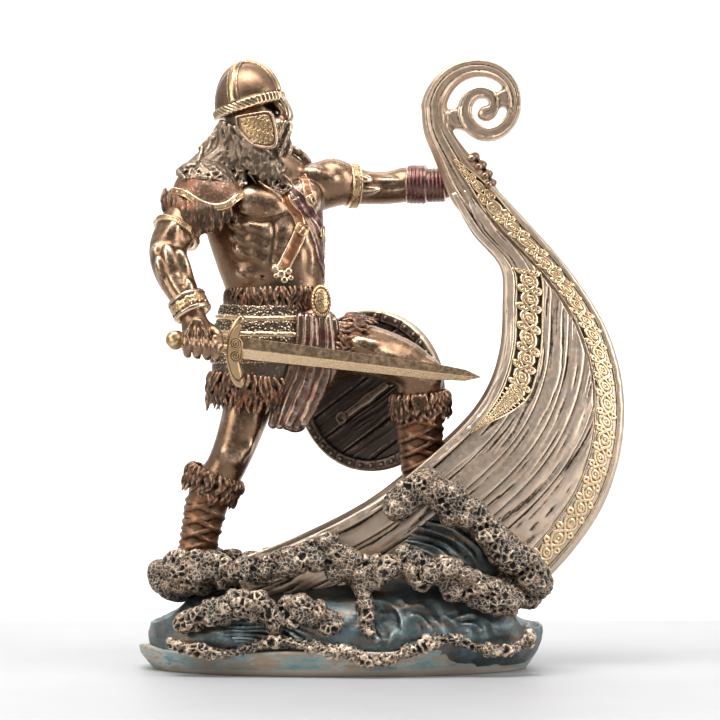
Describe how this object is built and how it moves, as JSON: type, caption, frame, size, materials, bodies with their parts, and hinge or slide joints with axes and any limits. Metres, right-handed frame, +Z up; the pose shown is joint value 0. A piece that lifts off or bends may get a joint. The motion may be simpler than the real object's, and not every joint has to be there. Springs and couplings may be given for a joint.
{
  "type": "viking warrior statue",
  "caption": "Bronze-coloured figurine of a helmeted Viking with sword and shield, gripping a longship's curled prow above breaking waves on an oval base.",
  "frame": {"origin": "middle of the plinth's flat underside", "axes": "+Z up, +X towards the prow, -Y towards the viewer of the front"},
  "size_m": [0.2122, 0.0983, 0.2662],
  "materials": {
    "cast_bronze": "cold-cast bronze (bronze powder in resin), aged brown with rubbed highlights, dark recesses, tinted leather and blue-green sea",
    "sword_bronze": "cold-cast bronze (bronze powder in resin), smooth and lighter, with gilt hilt"
  },
  "bodies": {
    "root": {"statue": "cast_bronze", "sword": "sword_bronze"}
  },
  "joints": []
}
